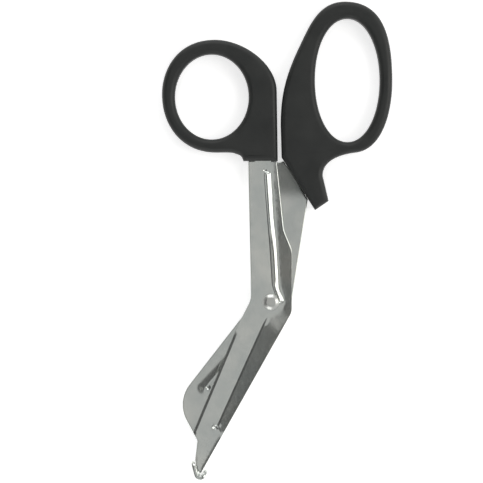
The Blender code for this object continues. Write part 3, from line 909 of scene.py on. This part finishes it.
def carved(target, operation, tool_mesh, name):
    """Adds a Boolean to a piece; its tool isn't shown."""
    tool = add_object(name, tool_mesh)
    tool.hide_render = True
    tool.hide_viewport = True
    boolean = target.modifiers.new(name, "BOOLEAN")
    boolean.operation = operation
    boolean.solver = "EXACT"
    boolean.object = tool


# Outlines of the pieces


def thumb_tang():
    """The front sheet's tang: its shoulders' right and left ends, its heading and its length."""
    y = THUMB_MOUTH_RIGHT[1] - SHOULDER_GAP
    shoulders = Vector((SHANK_RIGHT_X, y)), Vector((SHANK_LEFT_X, y))
    return shoulders, *THUMB_TANG


def finger_tang():
    """The back sheet's tang, with its shoulders along the slanted mouth."""
    top = Vector(FINGER_MOUTH_TOP)
    along = (Vector(FINGER_MOUTH_LOW) - top).normalized()
    away = Vector((along.y, -along.x)) * SHOULDER_GAP
    left, right = BACK_SHOULDERS
    shoulders = top + along * right + away, top + along * left + away
    return shoulders, *FINGER_TANG


def tang_box(shoulders, heading, length, grow=0.0, mouth=0.0):
    """Four corners of a tang: up its right side, then down its left side."""
    right, left = shoulders
    root = (right + left) / 2
    along = unit(heading)
    across = Vector((along.y, -along.x)) * (TANG_WIDTH / 2 + grow)
    low = root - along * mouth
    high = root + along * (length + grow)
    return [low + across, high + across, high - across, low - across]


def tang_stations(shoulders, heading, length):
    """A sheet's outline over its shoulder and round its tang."""
    right, left = shoulders
    box = tang_box(shoulders, heading, length, mouth=length)
    right_root = intersect_line_line_2d(box[0], box[1], right, left)
    left_root = intersect_line_line_2d(box[3], box[2], right, left)
    return corners([
        (right, SHOULDER_RADIUS), (right_root, 0.0), (box[1], TANG_CORNER),
        (box[2], TANG_CORNER), (left_root, 0.0), (left, SHOULDER_RADIUS),
    ])


def half_outline(tang, places):
    """The outline of one half: round its tang, then down its shank and round its blade."""
    return closed_line(trace(tang_stations(*tang) + corners(places)), EDGE_SPACING)


def thumb_outline():
    """The thumb loop: round at the left, with a straight inner edge down to its mouth."""
    x, y = THUMB_HOLE
    top = (x + 1.2, y + THUMB_HOLE_HALF_HEIGHT + THUMB_BAND_TOP)
    left = (x - THUMB_HOLE_HALF_WIDTH - THUMB_BAND_LEFT, y + 1.0)
    bottom = (x + 1.6, y - THUMB_HOLE_HALF_HEIGHT - THUMB_BAND_BOTTOM)
    return trace([
        corner(THUMB_MOUTH_RIGHT),
        smooth(THUMB_INNER_EDGE, 90.8, 8.0, 10.3),
        smooth(top, 180, 11.3, 14.0),
        smooth(left, 270, 10.2, 12.4),
        smooth(bottom, 0, 13.0, 2.5),
        smooth(THUMB_STEP, -20, 1.5, 1.5),
        smooth((THUMB_MOUTH_LEFT[0] - 0.5, THUMB_MOUTH_LEFT[1] + 1.2), -70, 1.2, 0.5),
        corner(THUMB_MOUTH_LEFT),
    ])


def finger_outline():
    """The finger loop: its slanted mouth, the guard, the neck and round the tall loop."""
    x, y = FINGER_HOLE
    bottom = (x + 3.3, y - FINGER_HOLE_HALF_HEIGHT - FINGER_BAND_BOTTOM)
    right = (x + FINGER_HOLE_HALF_WIDTH + FINGER_BAND_RIGHT, y - 0.6)
    top = (x - 0.9, y + FINGER_HOLE_HALF_HEIGHT + FINGER_BAND_TOP)
    return trace([
        corner(FINGER_MOUTH_TOP),
        corner(FINGER_MOUTH_LOW),
        corner(GUARD_TIP),
        smooth(GUARD_NECK, 92, 5.0, 6.1),
        smooth(bottom, 6, 5.6, 10.6),
        smooth(right, 90, 10.8, 15.1),
        smooth(top, 180, 15.9, 10.2),
        smooth(FINGER_SHOULDER, 244, 7.6, 13.1),
        smooth(FINGER_INNER_EDGE, 270, 11.9, 6.0),
    ])


# Materials


class Nodes:
    """Adds nodes to a material and links them."""

    def __init__(self, name):
        self.material = bpy.data.materials.new(name)
        self.material.use_nodes = True
        self.tree = self.material.node_tree
        self.shader = self.tree.nodes["Principled BSDF"]
        self.place = self.tree.nodes.new("ShaderNodeTexCoord").outputs["Object"]

    def fill(self, node, values, links):
        """Sets constants on some of a node's sockets, and links others."""
        for name, value in values.items():
            node.inputs[name].default_value = value
        for name, source in links.items():
            self.tree.links.new(source, node.inputs[name])

    def add(self, kind, output, values, links):
        node = self.tree.nodes.new(kind)
        self.fill(node, values, links)
        return node.outputs[output]

    def stretched(self, scale, turn=0.0):
        values = {"Scale": scale, "Rotation": (0.0, 0.0, math.radians(turn))}
        return self.add("ShaderNodeMapping", "Vector", values, {"Vector": self.place})

    def noise(self, vector, scale, detail):
        values = {"Scale": scale, "Detail": detail, "Roughness": 0.55}
        return self.add("ShaderNodeTexNoise", "Fac", values, {"Vector": vector})

    def ranged(self, value, low, high, start=0.3, end=0.7):
        values = {"From Min": start, "From Max": end, "To Min": low, "To Max": high}
        return self.add("ShaderNodeMapRange", "Result", values, {"Value": value})

    def mixed(self, share, first, second):
        mix = self.tree.nodes.new("ShaderNodeMix")
        mix.data_type = "RGBA"
        self.fill(mix, {"A": (*first, 1.0), "B": (*second, 1.0)}, {"Factor": share})
        return mix.outputs["Result"]

    def bump(self, height, strength, distance, normal=None):
        values = {"Strength": strength, "Distance": distance}
        links = {"Height": height, "Normal": normal} if normal else {"Height": height}
        return self.add("ShaderNodeBump", "Normal", values, links)


def steel_material(name, light, dark, roughness):
    """Rolled sheet steel: a fine grain along the sheet, soft clouding and thin scratches."""
    nodes = Nodes(name)
    grain = nodes.noise(nodes.stretched((9.0, 0.55, 1.0)), scale=900.0, detail=3.0)
    clouds = nodes.noise(nodes.place, scale=70.0, detail=3.0)
    scratched = nodes.stretched((4.0, 0.12, 1.0), turn=17.0)
    scratches = nodes.noise(scratched, scale=1400.0, detail=1.0)
    thin = nodes.ranged(scratches, 0.0, 1.0, start=0.66, end=0.74)
    fine = nodes.bump(grain, strength=0.12, distance=0.00002)
    nodes.fill(nodes.shader, {"Metallic": 1.0}, {
        "Base Color": nodes.mixed(nodes.ranged(clouds, 0.0, 1.0), dark, light),
        "Roughness": nodes.ranged(grain, *roughness),
        "Normal": nodes.bump(thin, strength=0.10, distance=0.00002, normal=fine),
    })
    return nodes.material


def plastic_material(name, dark, light):
    """Moulded black plastic: a fine even grain with slight shine, duller in patches."""
    nodes = Nodes(name)
    grain = nodes.noise(nodes.place, scale=2600.0, detail=2.0)
    patches = nodes.noise(nodes.place, scale=110.0, detail=4.0)
    waves = nodes.noise(nodes.place, scale=55.0, detail=2.0)
    wavy = nodes.bump(waves, strength=0.25, distance=0.0006)
    nodes.fill(nodes.shader, {"Specular IOR Level": 0.38}, {
        "Base Color": nodes.mixed(nodes.ranged(patches, 0.0, 1.0), dark, light),
        "Roughness": nodes.ranged(patches, 0.40, 0.54),
        "Normal": nodes.bump(grain, strength=0.25, distance=0.00005, normal=wavy),
    })
    return nodes.material


def plain(name, grey, roughness, specular=0.5):
    """The nodes of an even grey material."""
    nodes = Nodes(name)
    colour = (grey, grey, grey, 1.0)
    values = {"Base Color": colour, "Roughness": roughness, "Specular IOR Level": specular}
    nodes.fill(nodes.shader, values, {})
    return nodes


def table_material():
    """White: it shows as the photograph's white ground, and still takes the shadow."""
    nodes = plain("table_white", TABLE_GREY, 0.8, 0.1)
    tree = nodes.tree
    rays = tree.nodes.new("ShaderNodeLightPath").outputs
    seen = rays["Is Camera Ray"]
    for ray in ("Is Glossy Ray", "Is Transmission Ray"):
        either = tree.nodes.new("ShaderNodeMath")
        either.operation = "MAXIMUM"
        nodes.fill(either, {}, {0: seen, 1: rays[ray]})
        seen = either.outputs["Value"]
    strength = nodes.ranged(seen, 0.0, TABLE_GLOW, start=0.0, end=1.0)
    glow = nodes.add("ShaderNodeEmission", "Emission", {}, {"Strength": strength})
    parts = {0: nodes.shader.outputs["BSDF"], 1: glow}
    both = nodes.add("ShaderNodeAddShader", "Shader", {}, parts)
    nodes.fill(tree.nodes["Material Output"], {}, {"Surface": both})
    return nodes.material


# Stage, light and camera


def add_soft_box(name, place, aim, size, radiance, colour):
    """A lamp that faces a point of the table."""
    light = bpy.data.lights.new(name, "AREA")
    light.shape = "RECTANGLE"
    light.size, light.size_y = size
    light.energy = radiance * math.pi * size[0] * size[1]
    light.color = colour
    lamp = add_object(name, light)
    lamp.location = place
    lamp.rotation_euler = (Vector(aim) - Vector(place)).to_track_quat("-Z", "Y").to_euler()


def add_sheet(name, inner, outer, reach, material):
    """A flat sheet of the stage: X and Z of its two sides, and its reach along Y."""
    near, far = reach
    sides = ((inner, near), (outer, near), (outer, far), (inner, far))
    mesh = bpy.data.meshes.new(name)
    mesh.from_pydata([(x, y, z) for (x, z), y in sides], [], [(0, 1, 2, 3)])
    mesh.materials.append(material)
    sheet = add_object(name, mesh)
    return sheet


def add_stage():
    """The table, the lights and the cards, which the camera doesn't see."""
    table = add_sheet("table", *TABLE, table_material())
    table.location.z = -TABLE_DROP
    world = bpy.data.worlds.new("room")
    bpy.context.scene.world = world
    world.use_nodes = True
    room = world.node_tree.nodes["Background"]
    room.inputs["Color"].default_value = (1.0, 1.0, 1.0, 1.0)
    room.inputs["Strength"].default_value = ROOM_LIGHT
    for name, values in SOFT_BOXES.items():
        add_soft_box(name, *values)
    for name, (*sides, grey) in CARDS.items():
        card = add_sheet(name, *sides, plain(name, grey, 0.9).material)
        card.visible_camera = False


def add_camera():
    """Straight down on the table, with the photograph's width in view."""
    data = bpy.data.cameras.new("camera")
    data.sensor_width = SENSOR_WIDTH
    data.lens = SENSOR_WIDTH * CAMERA_HEIGHT / VIEW_WIDTH
    data.clip_start = 0.01
    data.clip_end = 20.0
    camera = add_object("camera", data)
    x, y = VIEW_CENTRE
    camera.location = (x * MM, y * MM, (CAMERA_HEIGHT + FRONT_Z) * MM)
    bpy.context.scene.camera = camera


# The pieces


def hollow_rib(top, low, *radii):
    """The hollow behind a rib, on the sheet's inner face."""
    narrow = [radius - RIB_WALL for radius in radii]
    return Rib(stadium(top, low, *narrow), -RIB_HEIGHT, *HOLLOW_RUNS)


def press_mark(centre, radius, depth):
    return Rib(circle(centre, radius, MARK_SEGMENTS), -depth, 0.0, MARK_WALL * radius)


def rib_side():
    """The two ends of the left side of the lower blade's rib, the one by the rivet first."""
    top, low, top_radius, low_radius = LOWER_RIB
    along = (Vector(low) - Vector(top)).normalized()
    across = Vector((along.y, -along.x))
    return Vector(top) + across * top_radius, Vector(low) + across * low_radius


def lower_rib():
    """The lower blade's rib, from its left side out past the spine."""
    left_top, left_low = rib_side()
    start = left_top + (left_top - left_low).normalized() * LOWER_RIB_START
    beyond = [(point, 0.0) for point in (LOWER_RIB_END, *BEYOND_SPINE)]
    outline = trace(corners([(start, 0.0), (left_low, 1.0)] + beyond))
    return Rib(outline, LOWER_CROWN, *LOWER_RIB_RUNS, fade=LOWER_RIB_FADE, profile=swell)


def add_lower_blade(steel):
    """The front half: thumb shank, lower blade and the foot bent across its tip."""
    outline = half_outline(thumb_tang(), FRONT_CORNERS)
    shank_rib = Rib(trace(corners(SHANK_RIB_CORNERS)), RIDGE_HEIGHTS, *SHANK_RIB_RUNS,
                    ridge=SHANK_RIDGE)
    outer_forms = [lower_rib(), shank_rib, press_mark(*TOE_MARK), press_mark(*SHANK_MARK)]
    fold = SPINE_FOLD + [rib_side()[1], Vector(LOWER_RIB_END)]
    cuts = [Grind(LOWER_EDGE_HEEL, LOWER_EDGE_END), Draw(fold, SPINE_SLOPES)]
    inner_forms = [hollow_rib(*LOWER_RIB), hollow_rib(*THUMB_RIB)]
    outer = Face(outline, outer_forms, BLANKED_RADIUS, cuts, spine=True)
    inner = Face(outline, inner_forms, INNER_RADIUS, [])
    mesh = pressed_half("lower_blade_skin", FRONT_Z, (outer, 1), (inner, -1))
    blade = piece("lower_blade_skin", mesh, "lower_half", "lower_blade", steel)
    carved(blade, "UNION", foot_mesh(), "foot")


def add_upper_blade(steel):
    """The back half: finger shank and upper blade, whose inner face shows from the front."""
    outline = half_outline(finger_tang(), BACK_CORNERS)
    outer_forms = [
        Rib(stadium(*UPPER_RIB), RIB_HEIGHT, *RIB_RUNS),
        Rib(stadium(*FINGER_RIB), RIB_HEIGHT, *RIB_RUNS),
    ]
    inner_forms = [
        Rib(stadium(*UPPER_GROOVE), -UPPER_GROOVE_DEPTH, *GROOVE_RUNS),
        press_mark(*GROOVE_MARK),
        hollow_rib(*FINGER_RIB),
    ]
    outer = Face(outline, outer_forms, INNER_RADIUS, [Grind(UPPER_EDGE_HEEL, UPPER_TIP)])
    inner = Face(outline, inner_forms, BLANKED_RADIUS, [Draw(BACK_FOLD, BACK_SLOPES)])
    mesh = pressed_half("upper_blade_skin", BACK_Z, (outer, -1), (inner, 1))
    piece("upper_blade_skin", mesh, "upper_half", "upper_blade", steel)


def add_rivet(steel):
    """The rivet: a low domed head with a rolled rim in front, a flat formed tail behind."""
    head_seat = FRONT_Z + SHEET / 2 + RIVET_SEAT
    head_top = head_seat + HEAD_HEIGHT
    tail_seat = BACK_Z - SHEET / 2 - RIVET_SEAT
    head_radius = HEAD_RADIUS + HEAD_ROLL
    profile = [(radius, head_top - depth) for radius, depth in HEAD_FACE]
    profile += [(head_radius - inside, head_top - depth) for inside, depth in HEAD_RIM]
    profile += [
        (head_radius - SEAT_EDGE, head_seat), (PIN_RADIUS, head_seat), (PIN_RADIUS, tail_seat),
        (TAIL_RADIUS - SEAT_EDGE, tail_seat), (TAIL_RADIUS, tail_seat - TAIL_EDGE),
    ]
    for step in range(TAIL_STEPS + 1):
        turn = math.radians(90 * step / TAIL_STEPS)
        radius = TAIL_RADIUS - TAIL_ROUNDING + TAIL_ROUNDING * math.cos(turn)
        profile.append((radius, TAIL_ROUNDING - TAIL_ROUNDING * math.sin(turn)))
    profile += [(TAIL_RADIUS * 0.5, 0.0), (0.0, 0.0)]
    mesh = turned("pivot_rivet_turned", profile)
    mesh.set_sharp_from_angle(angle=math.radians(RIVET_CREASE_ANGLE))
    piece("pivot_rivet_turned", mesh, "lower_half", "pivot_rivet", steel)


def add_loop(name, node, body, outline, opening, tang, sheet_z, plastic):
    """A moulded loop with its finger opening and the pocket for its tang."""
    mesh = slab(name, [outline, opening], 0.0, HANDLE_THICKNESS, HANDLE_ROUNDING, LOOP_RIM_STEPS)
    mesh.shade_smooth()
    mesh.set_sharp_from_angle(angle=math.radians(LOOP_CREASE_ANGLE))
    loop = piece(name, mesh, body, node, plastic)
    half = SHEET / 2 + CLEARANCE
    box = tang_box(*tang, CLEARANCE, POCKET_MOUTH)
    radius = TANG_CORNER + CLEARANCE
    pocket_outline = trace(corners(zip(box, (0.0, radius, radius, 0.0))))
    pocket = slab(f"{name}_pocket", [pocket_outline], sheet_z - half, sheet_z + half, 0.0, 0)
    carved(loop, "DIFFERENCE", pocket, f"{name}_pocket")


def add_loops(plastic):
    thumb_hole = oval(THUMB_HOLE, THUMB_HOLE_HALF_WIDTH, THUMB_HOLE_HALF_HEIGHT)
    finger_hole = oval(FINGER_HOLE, FINGER_HOLE_HALF_WIDTH, FINGER_HOLE_HALF_HEIGHT,
                       FINGER_HOLE_FULLNESS)
    add_loop("thumb_loop", "thumb_handle", "lower_half", thumb_outline(), thumb_hole,
             thumb_tang(), FRONT_Z, plastic)
    add_loop("finger_loop", "finger_handle", "upper_half", finger_outline(), finger_hole,
             finger_tang(), BACK_Z, plastic)


def main():
    add_stage()
    add_camera()
    add_lower_blade(steel_material("front_steel", *FRONT_STEEL))
    add_upper_blade(steel_material("back_steel", *BACK_STEEL))
    add_rivet(steel_material("rivet_steel", *RIVET_STEEL))
    add_loops(plastic_material("black_plastic_grain", *PLASTIC_TONES))
    bpy.context.scene.view_settings.view_transform = "Standard"


main()
